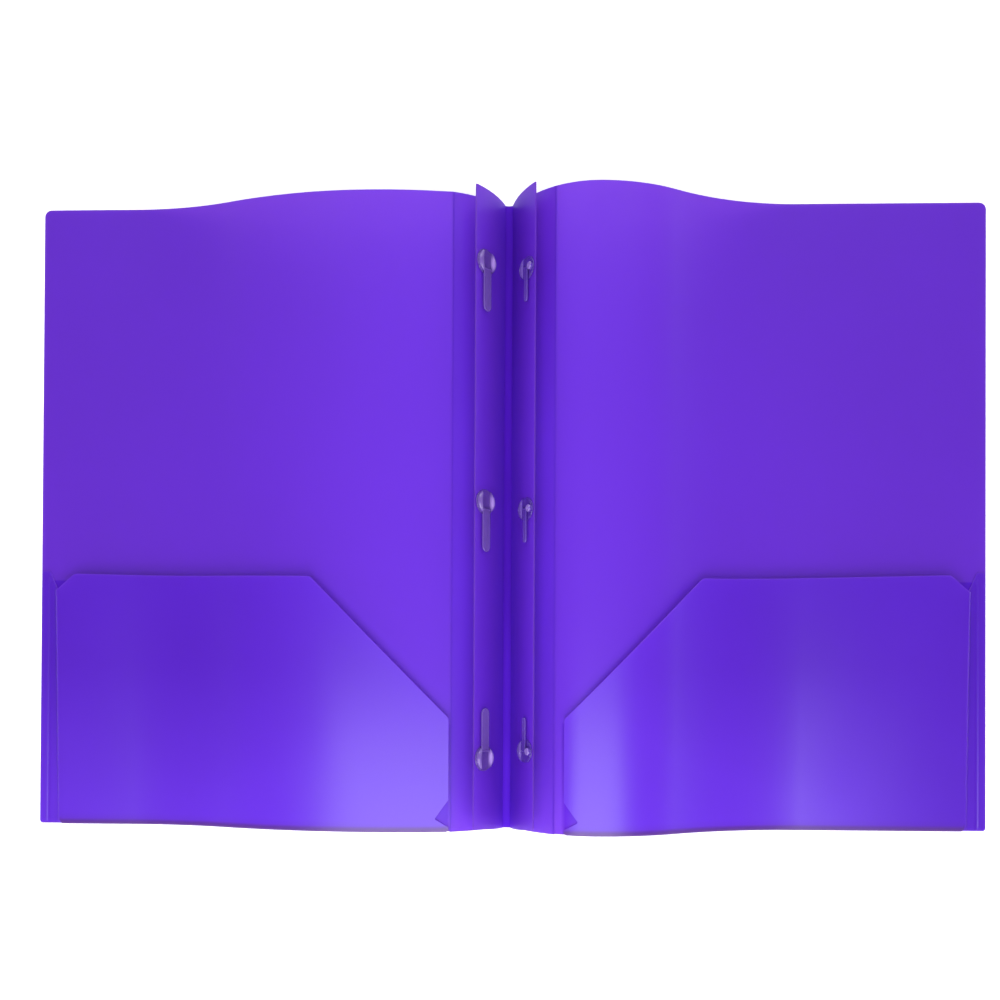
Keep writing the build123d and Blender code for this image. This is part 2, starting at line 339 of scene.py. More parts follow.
def put_sheet(name, data, body, node, material, crease=None, painted_shade=None, painted_light=None, back=None):
    verts, faces, norms, flats, rim = data
    c = np.zeros(len(verts)) if crease is None else crease(flats[:, 0], flats[:, 1])
    d = np.zeros(len(verts)) if painted_shade is None else painted_shade(flats[:, 0], flats[:, 1])
    k = np.zeros(len(verts)) if painted_light is None else painted_light(flats[:, 0], flats[:, 1])
    if back is not None:
        # the outer face takes none of the inner face's painted shade or painted light, only its own painted light from
        # back, paler near the score line
        d = np.where(norms[:, 2] < 0, 0.0, d)
        k = np.where(norms[:, 2] < 0, back(flats[:, 0], flats[:, 1]), k)
    flat3 = np.concatenate([flats, np.zeros((len(flats), 1))], 1) * MM
    return finish_mesh(name, verts, faces, body, node, material, norms, {"flat": flat3, "rim": rim, "crease": c, "painted_shade": d, "painted_light": k})


# ---- materials --------------------------------------------------------------
def nodes_of(name):
    m = bpy.data.materials.new(name)
    m.use_nodes = True
    t = m.node_tree
    t.nodes.clear()
    out = t.nodes.new("ShaderNodeOutputMaterial")
    p = t.nodes.new("ShaderNodeBsdfPrincipled")
    t.links.new(p.outputs[0], out.inputs[0])
    return m, t, p


def add(t, kind, **values):
    n = t.nodes.new(kind)
    for k, v in values.items():
        setattr(n, k, v)
    return n


def noise(t, vector, scale, detail=3.0, rough=0.55, seed=0.0):
    n = add(t, "ShaderNodeTexNoise", noise_dimensions="4D")
    n.inputs["W"].default_value = seed
    n.inputs["Scale"].default_value = scale
    n.inputs["Detail"].default_value = detail
    n.inputs["Roughness"].default_value = rough
    t.links.new(vector, n.inputs["Vector"])
    return n.outputs["Fac"]


def stretched(t, vector, scale):
    m = add(t, "ShaderNodeMapping")
    m.inputs["Scale"].default_value = scale
    t.links.new(vector, m.inputs["Vector"])
    return m.outputs[0]


def ranged(t, value, lo, hi, to_lo, to_hi):
    r = add(t, "ShaderNodeMapRange")
    r.inputs["From Min"].default_value = lo
    r.inputs["From Max"].default_value = hi
    r.inputs["To Min"].default_value = to_lo
    r.inputs["To Max"].default_value = to_hi
    t.links.new(value, r.inputs["Value"])
    return r.outputs[0]


def mixed(t, factor, a, b, blend="MIX"):
    m = add(t, "ShaderNodeMix", data_type="RGBA", blend_type=blend)
    for key, v in (("Factor", factor), ("A", a), ("B", b)):
        sockets = [i for i in m.inputs if i.name == key and (i.type == "RGBA") == (key != "Factor") and i.enabled]
        if hasattr(v, "is_linked"):
            t.links.new(v, sockets[0])
        else:
            sockets[0].default_value = v
    return [o for o in m.outputs if o.type == "RGBA"][0]


def math_node(t, op, a, b):
    m = add(t, "ShaderNodeMath", operation=op)
    for i, v in enumerate((a, b)):
        if hasattr(v, "is_linked"):
            t.links.new(v, m.inputs[i])
        else:
            m.inputs[i].default_value = v
    return m.outputs[0]


def violet_sheet(name, base, seed, rough=0.24, through=(0.62, 0.36, 0.9, 1.0), share=0.5, shine=0.8, cut=0.7, painted_light_tint=(1.36, 1.6, 1.34), low=(0.85, 0.7, 0.9)):
    """Glossy extruded sheet that lets some light through: faint draw lines along the page, soft cloudiness, slightly
    paler fold lines and cut edges of their own tone. Attributes paint light and shade into its colour, and cut is set
    per sheet to paint light or shade on the edges as well.
    """
    m, t, p = nodes_of(name)
    lit = add(t, "ShaderNodeBsdfTranslucent")
    both = add(t, "ShaderNodeMixShader")
    both.inputs[0].default_value = share
    t.links.new(p.outputs[0], both.inputs[1])
    t.links.new(lit.outputs[0], both.inputs[2])
    t.links.new(both.outputs[0], [n for n in t.nodes if n.type == "OUTPUT_MATERIAL"][0].inputs[0])
    flat = add(t, "ShaderNodeAttribute", attribute_name="flat").outputs["Vector"]
    rim = add(t, "ShaderNodeAttribute", attribute_name="rim").outputs["Fac"]
    crease = add(t, "ShaderNodeAttribute", attribute_name="crease").outputs["Fac"]
    cloud = noise(t, flat, 14.0, 3.0, 0.5, seed)
    lines = noise(t, stretched(t, flat, (700.0, 2.5, 1.0)), 1.0, 2.0, 0.6, seed + 1)
    fine = noise(t, flat, 1400.0, 2.0, 0.5, seed + 2)
    scuff = noise(t, stretched(t, flat, (45.0, 120.0, 1.0)), 1.0, 5.0, 0.7, seed + 3)
    dark = tuple(c * 0.96 for c in base) + (1.0,)
    pale = tuple(min(1.0, c * 1.04) for c in base) + (1.0,)
    col = mixed(t, ranged(t, cloud, 0.3, 0.7, 0.0, 1.0), dark, pale)
    # painted light: this attribute lifts the colour towards a paler tint where light is painted onto the sheet
    painted_light = add(t, "ShaderNodeAttribute", attribute_name="painted_light").outputs["Fac"]
    col = mixed(t, math_node(t, "MULTIPLY", painted_light, ranged(t, cloud, 0.3, 0.7, 0.9, 1.0)), col, (base[0] * painted_light_tint[0], base[1] * painted_light_tint[1], base[2] * painted_light_tint[2], 1.0))
    white = (base[0] * 1.2 + 0.01, base[1] * 1.4 + 0.006, min(1.0, base[2] * 1.1 + 0.03), 1.0)
    broken = math_node(t, "MULTIPLY", crease, ranged(t, lines, 0.25, 0.75, 0.15, 0.45))
    col = mixed(t, broken, col, white)
    # cut edges: by default darkened to their own tone; a cut above 1 (pocket sheets) paints them paler, painted light
    # over the shadow line under the pocket's lip, and a very low cut (strips) is painted shade over the light the rim
    # catches
    edge = (base[0] * cut, base[1] * cut, base[2] * cut, 1.0)
    col = mixed(t, math_node(t, "MULTIPLY", rim, 0.8), col, edge)
    # painted shade: this attribute darkens the colour, and the light let through, towards the low tint where shade is
    # painted onto the sheet
    painted_shade = add(t, "ShaderNodeAttribute", attribute_name="painted_shade").outputs["Fac"]
    col = mixed(t, painted_shade, col, (base[0] * low[0], base[1] * low[1], base[2] * low[2], 1.0))
    t.links.new(col, p.inputs["Base Color"])
    t.links.new(mixed(t, painted_shade, through, (through[0] * low[0], through[1] * min(low[1], 1.1), through[2] * low[2], 1.0)), lit.inputs["Color"])
    r = math_node(t, "ADD", ranged(t, lines, 0.3, 0.7, rough - 0.008, rough + 0.008), ranged(t, scuff, 0.55, 0.9, 0.0, 0.05))
    r = math_node(t, "ADD", r, math_node(t, "MULTIPLY", rim, 0.3))
    t.links.new(r, p.inputs["Roughness"])
    p.inputs["IOR"].default_value = 1.5
    p.inputs["Specular IOR Level"].default_value = shine
    b1 = add(t, "ShaderNodeBump")
    b1.inputs["Strength"].default_value = 0.025
    b1.inputs["Distance"].default_value = 0.00005
    t.links.new(lines, b1.inputs["Height"])
    b2 = add(t, "ShaderNodeBump")
    b2.inputs["Strength"].default_value = 0.08
    b2.inputs["Distance"].default_value = 0.00003
    t.links.new(fine, b2.inputs["Height"])
    t.links.new(b1.outputs[0], b2.inputs["Normal"])
    t.links.new(b2.outputs[0], p.inputs["Normal"])
    return m


def clear_plastic(name, base, seed, clear=0.92):
    """Clear moulded plastic with a little haze, flow lines and a worn skin."""
    m, t, p = nodes_of(name)
    where = add(t, "ShaderNodeTexCoord").outputs["Object"]
    haze = noise(t, where, 420.0, 3.0, 0.6, seed)
    flow = noise(t, stretched(t, where, (900.0, 160.0, 900.0)), 1.0, 3.0, 0.6, seed + 1)
    fine = noise(t, where, 2600.0, 2.0, 0.5, seed + 2)
    a = tuple(c * 0.9 for c in base) + (1.0,)
    b = tuple(min(1.0, c * 1.08) for c in base) + (1.0,)
    col = mixed(t, ranged(t, haze, 0.3, 0.7, 0.0, 1.0), a, b)
    # partly frosted finish, partly painted highlight: pale lavender where the boss lobes and button catch the light
    frost_and_painted_highlight = add(t, "ShaderNodeAttribute", attribute_name="frost_and_painted_highlight").outputs["Fac"]
    col = mixed(t, math_node(t, "MULTIPLY", frost_and_painted_highlight, ranged(t, flow, 0.25, 0.75, 0.6, 1.0)), col, (0.58, 0.37, 1.0, 1.0))
    t.links.new(col, p.inputs["Base Color"])
    t.links.new(ranged(t, flow, 0.3, 0.7, 0.10, 0.20), p.inputs["Roughness"])
    p.inputs["IOR"].default_value = 1.5
    p.inputs["Transmission Weight"].default_value = clear
    bump = add(t, "ShaderNodeBump")
    bump.inputs["Strength"].default_value = 0.15
    bump.inputs["Distance"].default_value = 0.00004
    t.links.new(fine, bump.inputs["Height"])
    t.links.new(bump.outputs[0], p.inputs["Normal"])
    return m


# cover: its low tint darkens the cover under the pocket, painted shade seen through the pocket's notch
COVER = violet_sheet("cover_sheet", (0.094, 0.0154, 0.46), 1.0, 0.3, shine=0.4, low=(0.72, 0.35, 1.02))
# hinge margin: the cover's own sheet with a brighter base, painted light lifting the shade under the wings
MARGIN_PAINTED_LIGHT = violet_sheet("margin_sheet", (0.104, 0.0165, 0.585), 6.0, 0.34, shine=0.4)
# pocket: cut above 1 paints its edges paler, painted light over the shadow line at the mouth; its tint lifts green for
# a painted highlight low on the pocket; its low tint greys the bottom fold, painted shade
POCKET = violet_sheet("pocket_sheet", (0.096, 0.0058, 0.535), 11.0, 0.3, shine=0.84, cut=1.15, painted_light_tint=(1.5, 4.0, 1.34), low=(0.92, 2.5, 0.58))
# strip: a cut of 0.4 paints its edges dark, painted shade over the light its rim catches
STRIPS = violet_sheet("strip_sheet", (0.108, 0.0145, 0.53), 21.0, 0.36, shine=0.4, cut=0.4)
FOOT = violet_sheet("foot_sheet", (0.094, 0.009, 0.54), 31.0, 0.55, shine=0.1)
CLEAR = clear_plastic("fastener_plastic", (0.138, 0.058, 0.41), 3.0, 0.42)
FAINT = clear_plastic("slim_fastener_plastic", (0.104, 0.034, 0.44), 8.0, 0.42)

# ---- covers, margins, pockets, side tabs and wings --------------------------
y_lines = np.arange(Y0 + 3, Y1 - 1, 4.0)
for name, d in SIDES.items():
    side = d["side"]
    seed = (0.4, 1.7, 2.9) if side < 0 else (2.2, 0.3, 4.1)
    margin_arc, score = chord_arc(SPINE_HALF, SPINE_Z, d["margin"], MARGIN_CHORD, MARGIN_R)
    section = cover_section(score, d["crest"], d["flat"], d["crest_r"])
    total = sum(lengths(section))

    def on(section_, side_=side):
        def point(s, y):
            a, z, na, nz = along(section_, s)
            zero = np.zeros_like(a)
            return np.stack([side_ * a, y + zero, z], 1), np.stack([side_ * na, zero, nz], 1)

        return point

    # cover: from the score line out to the edge, its upper outer corner rounded
    plain = on(section)

    def cover_wave(s, y, seed=seed, total=total):
        fade = np.clip((total - s) / 25, 0, 1) * np.clip(s / 12, 0, 1)
        return wave(s, y, seed, 0.035) * fade

    def painted_light_on_cover(s, y, section=section):
        # painted light: the sheet is painted paler near the score line, for the brighter light towards the spine, and
        # in a band along the pocket's mouth and slanted edge, lifting the shadow the pocket's lip casts there
        a = along(section, s)[0]
        mouth = np.array([(25.9, -93.6), (88.0, MOUTH_IN_Y), (201.5, MOUTH_Y)])
        gap = np.full(len(a), 1e9)
        for p, q in zip(mouth, mouth[1:]):
            d = q - p
            k = np.clip(((a - p[0]) * d[0] + (y - p[1]) * d[1]) / (d @ d), 0, 1)
            gap = np.minimum(gap, np.hypot(a - p[0] - k * d[0], y - p[1] - k * d[1]))
        # the painted light stops where the pocket covers the sheet
        edge = np.interp(a, mouth[:, 0], mouth[:, 1])
        bare = np.clip((y - edge) / 3.0, 0, 1) * (a > 25.4) + (a <= 25.4)
        return bare * (np.exp(-((np.maximum(s, 0) / 78.0) ** 2)) + 0.8 * np.exp(-((gap / 4.2) ** 2)))

    E = 0.2
    loop = [(0, Y0 + 0.45), (total - E, Y0 + 0.45), (total - E, Y1 - E), (0, Y1 - E)]
    loop = rounded(loop, {1: 1.2, 2: 3.0})
    fine_lines = np.sort(np.concatenate([y_lines, np.arange(-97.0, -16.0, 2.0) + 0.1]))
    data = sheet_mesh(with_wave(plain, cover_wave), [divide(loop, 4.0)], np.arange(1.5, total - 1, 2.0), fine_lines, SHEET, E, hinge=lambda s, y: s < 1e-6)
    # painted light near the score line and along the pocket's edges; painted shade where the pocket lies over the cover
    put_sheet(name + "_cover_sheet", data, name + "_cover", name + "_cover", COVER, lambda s, y: np.exp(-np.maximum(s, 0) / 0.7), painted_light=painted_light_on_cover, back=lambda s, y: np.exp(-((np.maximum(s, 0) / 78.0) ** 2)), painted_shade=lambda s, y, section=section: 1.0 * (along(section, s)[0] > 26.2) * (y < np.interp(along(section, s)[0], (25.9, 88.0, 201.5), (-95.6, MOUTH_IN_Y - 2, MOUTH_Y - 2))))

    # hinge margin: between the spine fold and the score line
    size = lengths([margin_arc])[0]
    loop = divide([(0, Y0 + E), (size, Y0 + E), (size, Y1 - E), (0, Y1 - E)], 4.0)
    data = sheet_mesh(on([margin_arc]), [loop], np.arange(1.2, size - 0.8, 1.2), y_lines, SHEET, E, hinge=lambda s, y, size=size: (s < 1e-6) | (s > size - 1e-6))
    # painted shade: the margins darken towards the top, the right one more
    put_sheet(name + "_margin_sheet", data, name + "_margin", name + "_hinge_margin", MARGIN_PAINTED_LIGHT, lambda s, y, size=size: np.exp(-np.minimum(np.abs(s), np.abs(size - s)) / 0.7), painted_shade=lambda s, y, side=side: (0.5 if side < 0 else 1.0) * np.clip((y - 30) / 80, 0, 1))

    # pocket: follows the bow, stands off more towards the mouth, and turns round its bottom fold
    ro = LIFT_LOW / 2
    yf = Y0 + 0.3 + ro
    turn = math.pi * ro

    def pocket_point(s, y, section=section, side=side, seed=seed):
        a, z, na, nz = along(section, s)
        y = np.asarray(y, float)
        up = np.maximum(y - yf, 0)
        w = np.clip((yf - y) / ro, 0, math.pi + 0.2)
        lift = np.where(y >= yf, LIFT_LOW + (LIFT_MOUTH - LIFT_LOW) * up / (MOUTH_Y - yf), ro * (1 + np.cos(w)))
        yy = np.where(y >= yf, y, yf - ro * np.sin(w))
        soft = wave(s, y, (seed[2], seed[0], seed[1]), 0.045) * np.clip(up / 20, 0, 1)
        return np.stack([side * a, yy, z + lift + soft], 1), np.stack([side * na, np.zeros_like(a), nz], 1)

    def pocket_full(s, y, point=pocket_point):
        P, N = point(s, y)
        e = 0.06
        T = point(s + e, y)[0] - point(s - e, y)[0]
        V = point(s, y + e)[0] - point(s, y - e)[0]
        M = np.cross(T, V)
        M /= np.linalg.norm(M, axis=1, keepdims=True)
        M *= math.copysign(1, float(np.median((M * N).sum(1))))
        return P, M

    outline = [
        (25.9, yf - turn),
        (25.9, -142.7),
        (32.2, -139.1),
        (25.9, -130.3),
        (25.9, -93.6),
        (88.0, MOUTH_IN_Y),
        (201.5, MOUTH_Y),
        (TAB_X0, -35.35),
        (TAB_X0, yf - turn),
    ][::-1]
    outline = rounded(outline, {2: 2.0, 3: 2.5, 4: 2.0, 5: 0.8, 6: 0.8})
    outline = divide(outline, 2.5)
    outline[:, 0] = s_at(section, outline[:, 0])
    turn_lines = yf - turn * np.linspace(0.08, 0.92, 9)
    lines = np.concatenate([turn_lines, [yf + 0.15, yf + 0.8, yf + 2], np.arange(yf + 4.5, MOUTH_Y, 3.5)])
    s0, s1 = s_at(section, 25.9), s_at(section, TAB_X0)
    data = sheet_mesh(pocket_full, [outline], np.arange(s0 + 1, s1 - 0.5, 2.0), lines, SHEET, 0.15, keep=0.12)
    # painted light: paler near the score line, and towards the bottom a painted highlight, less on the right pocket's
    # outer part; painted shade greys the bottom fold
    put_sheet(name + "_pocket_sheet", data, name + "_cover", name + "_pocket", POCKET, lambda s, y: np.exp(-np.abs(y - yf + turn / 2) / 0.6), painted_light=lambda s, y, side=side: 0.8 * np.exp(-((np.maximum(s, 0) / 85.0) ** 2)) + 0.9 * np.clip((-70 - y) / 65, 0, 1) * (1 - (0.75 if side > 0 else 0.0) * np.clip((s - 135) / 50, 0, 1)), painted_shade=lambda s, y: np.clip((yf + 2.2 - y) / 1.6, 0, 1) * (y > yf - turn * 0.75))

    # side tab: comes off the pocket's outer edge, down a wedge-shaped wall, and lies welded on the cover
    def tab_point(u, y, side=side):
        u, y = np.asarray(u, float), np.asarray(y, float)
        zf = SHEET / 2 + LIFT_LOW + (LIFT_MOUTH - LIFT_LOW) * np.maximum(y - yf, 0) / (MOUTH_Y - yf) + 0.09 * np.clip((y - yf) / 20, 0, 1)
        k = np.clip(u, 0, 1)
        b0, b1, b2, b3 = (1 - k) ** 3, 3 * k * (1 - k) ** 2, 3 * k * k * (1 - k), k**3
        x = b0 * TAB_X0 + b1 * (TAB_X0 + 1.5) + b2 * (TAB_X1 - 1.5) + b3 * TAB_X1
        z = (b0 + b1) * zf + (b2 + b3) * (1.5 * SHEET + 0.02)
        x = x + np.maximum(u - 1, 0) * (TAB_OUT - TAB_X1) + np.minimum(u, 0) * 4
        # a pressed weld line along the strip
        press = 0.13 * np.exp(-(((x - 215.6) / 0.75) ** 4))
        return np.stack([side * x, y, z - press], 1), None

    def tab_full(u, y, side=side, point=tab_point):
        P = point(u, y)[0]
        e = 0.004
        T = point(u + e, y)[0] - point(u - e, y)[0]
        V = point(u, y + 10 * e)[0] - point(u, y - 10 * e)[0]
        M = np.cross(T, V) * side
        return P, M / np.linalg.norm(M, axis=1, keepdims=True)

    k = (215.9 - TAB_X1) / (TAB_OUT - TAB_X1)
    loop = [(0.0, Y0 + 0.75), (2.0, Y0 + 0.75), (2.0, -26.2), (1 + k, -26.2), (1.0, -36.0), (0.0, -35.4)]
    loop = np.array(loop)
    loop[:, 0] *= 6.0
    loop = divide(rounded(loop, {1: 0.8, 2: 0.8, 3: 0.8, 4: 0.6}), 1.0)
    loop[:, 0] /= 6.0
    u_lines = np.concatenate([np.linspace(0.08, 1, 14), np.linspace(1.08, 1.95, 18)])
    data = sheet_mesh(tab_full, [loop], u_lines, np.arange(Y0 + 2, -27, 3.0), SHEET, 0.15, keep=0.35, unit_s=6.0)
    # painted highlight: the tab is paler towards the bottom, the left one more
    put_sheet(name + "_tab_sheet", data, name + "_cover", name + "_side_tab", POCKET, lambda u, y: np.exp(-np.abs(u - 0.2) / 0.12) * 0.6, painted_light=lambda u, y, side=side: (0.25 if side > 0 else 0.9) * np.clip((-70 - y) / 65, 0, 1))

    # strip wing
    wing_arc, tip = chord_arc(WING_HALF, WING_Z, d["wing"], WING_CHORD, WING_R)
    size = lengths([wing_arc])[0]
    low = [(k, Y0 + E + (WING_LOW - Y0) * (along([wing_arc], k)[0] - WING_HALF) / (tip[0] - WING_HALF)) for k in np.linspace(0, size - E, 6)]
    loop = low + [(size - E, Y1 - E), (0, Y1 - E)]
    loop = divide(rounded(loop, {5: 0.5, 6: 0.3}), 4.0)

    def wing_wave(s, y, seed=seed, size=size):
        return (wave(s, y, seed[::-1], 0.03) - 0.06) * np.clip(s / size, 0, 1)

    data = sheet_mesh(with_wave(on([wing_arc]), wing_wave), [loop], np.arange(1.2, size - 0.8, 1.2), y_lines, STRIP, E, hinge=lambda s, y: s < 1e-6)
    # painted light lifts the shade at the wing's root; painted shade darkens the right wing towards the top
    put_sheet(name + "_wing_sheet", data, name + "_wing", f"strip_{name}_wing", STRIPS, lambda s, y: 0.0 * s, lambda s, y, side=side: (0.0 if side < 0 else 0.7) * np.clip((y - 30) / 80, 0, 1), lambda s, y: np.exp(-((np.maximum(s, 0) / 7.0) ** 2)))

    # ---- bosses and tangs ---------------------------------------------------
    _, cx, cz, r, t0, t1, _ = wing_arc
    spot = t0 + (t1 - t0) * d["boss"] / WING_CHORD
    origin = np.array([side * (cx + r * math.cos(spot)), 0.0, cz + r * math.sin(spot)])
    normal = np.array([side * math.cos(spot), 0.0, math.sin(spot)])
    across = np.array([normal[2], 0.0, -normal[0]])
    d.update(origin=origin, normal=normal, across=across)


# ---- small solids for the fasteners -----------------------------------------
class Solid:
    """Collects closed shells in a fastener's own frame: u across the wing, v up the page, w off the wing."""

    def __init__(self):
        self.verts, self.faces = [], []

    def shell(self, rows, cap0=True, cap1=True):
        """Rows of points, each a closed ring, joined in order and closed by a point at either end."""
        base = len(self.verts)
        n = len(rows[0])
        for row in rows:
            self.verts += [tuple(p) for p in row]
        for i in range(len(rows) - 1):
            for k in range(n):
                j = (k + 1) % n
                self.faces.append((base + i * n + k, base + i * n + j, base + (i + 1) * n + j, base + (i + 1) * n + k))
        for cap, row, first in ((cap0, rows[0], base), (cap1, rows[-1], base + (len(rows) - 1) * n)):
            if not cap:
                continue
            c = len(self.verts)
            self.verts.append(tuple(np.mean(row, axis=0)))
            for k in range(n):
                j = (k + 1) % n
                self.faces.append((first + j, first + k, c) if first == base else (first + k, first + j, c))

    def lathe(self, profile, n=56, at=(0.0, 0.0)):
        """A profile of r, w turned about w, from its low end to its high end."""
        t = np.linspace(0, 2 * math.pi, n, endpoint=False)
        self.shell([[(at[0] + r * math.cos(k), at[1] + r * math.sin(k), w) for k in t] for r, w in profile])


def arc_points(c, r, a0, a1, n):
    return [(c[0] + r * math.cos(a), c[1] + r * math.sin(a)) for a in np.radians(np.linspace(a0, a1, n))]


def boss_solid(big, shift):
    R = 5.7 if big else 5.2
    top = 0.9 if big else 0.8
    high = 2.6 if big else 2.2
    slot = (5.2 if big else 2.8) + 0.3
    rear = 3.4 if big else 3.0
    s = Solid()
    mid = (0.0, shift)
    # flange: rounded rim, a shallow ring groove, and a raised seat
    s.lathe(
        [(R - 0.5, 0.29)]
        + arc_points((R - 0.14, 0.43), 0.14, -90, 0, 4)
        + arc_points((R - 0.2, top - 0.22), 0.2, 0, 90, 6)
        + [(R - 0.55, top - 0.02), (R - 0.62, top - 0.1), (R - 0.82, top - 0.1), (R - 0.9, top - 0.02), (0.4, top - 0.02)],
        at=mid,
    )
    # stem and rear rivet flange
    s.lathe(
        [(1.0, -0.96)] + arc_points((rear - 0.16, -0.79), 0.16, -90, 0, 5) + arc_points((rear - 0.1, -0.56), 0.1, 0, 90, 4) + [(1.9, -0.45), (1.9, 0.35), (0.8, 0.36)],
        at=mid,
    )
    # domed lobes either side of the slot
    ro = R - 0.3
    for sign in (-1, 1) if big else (-1,):
        h = slot / 2 + 0.02
        half = math.acos(h / ro)
        edge = [(ro * math.cos(a), ro * math.sin(a)) for a in np.linspace(-half, half, 33)]
        edge += [(h, v) for v in np.linspace(ro * math.sin(half), -ro * math.sin(half), 15)[1:-1]]
        edge = np.array(edge)
        c = edge.mean(0)
        crown = 1.25 if big else 0.7

        def ring(scale, w):
            p = c + (edge - c) * scale
            if sign < 0:
                p = (p * [-1, 1])[::-1]
            return [(u, v + shift, w) for u, v in p]

        rows = [ring(1.0, top - 0.2), ring(1.0, high - crown)]
        for a in np.radians([12, 24, 36, 48, 58, 67, 75, 82, 87]):
            rows.append(ring(0.03 + 0.97 * math.cos(a) ** 0.8, high - crown + crown * math.sin(a)))
        s.shell(rows)
        if big:
            continue
        # fine upright ribs on the low lobe
        for u in np.linspace(-(ro - 0.75), -(slot / 2 + 0.55), 4):
            reach = math.sqrt(max(ro * ro - u * u, 0.1)) - 0.9
            rows = []
            for v in np.linspace(-reach, reach, 9):
                f = math.sqrt(max(0.0, 1 - (v / reach) ** 8))
                sag = 0.45 * (v / reach) ** 2 + 0.12
                rows.append([(u + 0.16 * (0.35 + 0.65 * f) * math.cos(a), v + shift, high - sag - 0.05 + 0.2 * (0.2 + 0.8 * f) * math.sin(a)) for a in np.linspace(0, 2 * math.pi, 10, endpoint=False)[::-1]])
            s.shell(rows)
    if not big:
        # round button with a ring groove and a small crown
        r = 1.68
        s.lathe(
            [(r, top - 0.2), (r, high - 0.55)]
            + arc_points((r - 0.55, high - 0.55), 0.55, 12, 80, 6)
            + [(r - 0.66, high - 0.03), (r - 0.74, high - 0.17), (r - 0.95, high - 0.17), (r - 1.04, high - 0.04), (r - 1.3, high + 0.0), (0.06, high + 0.02)],
            n=40,
            at=(slot / 2 + 0.06 + r, shift),
        )
    return s


def tang_solid(big, down):
    W, L = (5.2, 19.0) if big else (2.8, 15.0)
    bead, pin = (0.5, 0.35) if big else (0.45, 0.32)
    axis = (0.9 if big else 0.8) + 0.05 + bead
    sign = -1 if down else 1
    s = Solid()
    # root bead with its two pins
    rows = []
    x0 = W / 2
    stations = [(-x0 - 0.86, pin * 0.8), (-x0 - 0.8, pin), (-x0, pin), (-x0, bead * 0.86), (-x0 + 0.1, bead * 0.98)]
    stations += [(-x0 + 0.2, bead)] + [(-u, r) for u, r in ([(-x0 + 0.2, bead)] + stations[::-1][0:])]
    for u, r in stations:
        rows.append([(u, r * math.sin(a), axis + r * math.cos(a)) for a in np.linspace(0, 2 * math.pi, 24, endpoint=False)])
    s.shell(rows)
    # blade: a flat tongue with rounded edges, a raised border, a low rib and a thicker round tip
    n = 40
    ang = np.linspace(0, 2 * math.pi, n, endpoint=False)
    tip = L - W / 2
    lengths_ = list(np.linspace(0.1, 1.4, 6)) + list(np.linspace(2.2, tip, 22)) + [tip + W / 2 * math.sin(k) for k in np.radians([12, 24, 36, 48, 58, 68, 76, 83, 88])]
    rows = []
    for v in lengths_:
        d = max(v - tip, 0.0)
        half = math.sqrt(max((W / 2) ** 2 - d * d, 0.0004))
        thick = 0.25 + 0.03 * math.exp(-(((v - 0.3) / 0.8) ** 2)) + 0.07 * math.exp(-(((v - tip) / 1.6) ** 2))
        thick *= max(min(1.0, half / 0.45), 0.35)
        row = []
        for a in ang:
            c, k = math.cos(a), math.sin(a)
            u = half * math.copysign(abs(c) ** 0.45, c)
            w = thick * math.copysign(abs(k) ** 0.55, k)
            if k > 0:
                border = math.exp(-(((half - abs(u) - 0.42) / 0.26) ** 2))
                inner = min(1.0, max(0.0, (tip - v) / 2)) * min(1.0, max(0.0, (v - 2.0) / 2))
                rib = math.exp(-((u / 0.34) ** 2)) * inner
                w += k * min(1.0, half / 1.2) * (0.06 * border + 0.07 * rib - 0.05 * inner * (1 - border))
            row.append((u, sign * v, axis + w))
        if sign > 0:
            row = row[::-1]
        rows.append(row)
    s.shell(rows)
    return s


def outward(verts, faces):
    """Faces turned so that each closed shell's volume is positive."""
    verts = np.asarray(verts, float)
    parent = list(range(len(verts)))

    def root(i):
        while parent[i] != i:
            parent[i] = parent[parent[i]]
            i = parent[i]
        return i

    for f in faces:
        a = root(f[0])
        for i in f[1:]:
            parent[root(i)] = a
    volume = {}
    for f in faces:
        p = verts[list(f)]
        v = sum(np.dot(p[0], np.cross(p[k], p[k + 1])) for k in range(1, len(p) - 1))
        volume[root(f[0])] = volume.get(root(f[0]), 0.0) + v
    return [f if volume[root(f[0])] > 0 else tuple(reversed(f)) for f in faces]


for name, d in SIDES.items():
    big = name == "left"
    basis = np.stack([d["across"], [0.0, 1.0, 0.0], d["normal"]])
    for row, y in ROWS.items():
        at = d["origin"] + [0, y, 0]
        shift = (3.4 if big else 0.0) * (-1 if row == "lower" else 1)
        for kind, solid in (("boss", boss_solid(big, shift)), ("tang", tang_solid(big, row != "lower"))):
            local = np.array(solid.verts)
            node = f"{row}_{name}_{kind}"
            body = node if kind == "tang" else name + "_wing"
            # the crowns of the lobes are frosted; the bright lobe nearer the spine, the small bosses' button and their
            # ribs are painted highlight, where they catch the light; the tangs get a light haze, more towards their
            # ends
            u, v, w = local.T
            if kind == "tang":
                end = np.abs(v) / (19.0 if big else 15.0)
                frost_and_painted_highlight = (0.1 if big else 0.03) + (0.06 if big else 0.1) * np.clip((end - 0.2) / 0.6, 0, 1)
            elif big:
                r = np.hypot((u - 4.0) / 2.2, (v - shift) / 3.4)
                frost_and_painted_highlight = 0.95 * np.exp(-(r**4)) * (w > 0.95) + 0.22 * (u < -2.7) * (w > 1.4)
            else:
                r = np.hypot(u - 3.14, v)
                frost_and_painted_highlight = 0.6 * (r < 1.75) * (w > 1.2) + 0.25 * (u < -1.5) * (w > 1.9)
            finish_mesh(node + "_moulded", local @ basis + at, outward(local, solid.faces), body, node, CLEAR if big else FAINT, attrs={"frost_and_painted_highlight": frost_and_painted_highlight}, sharp=38)

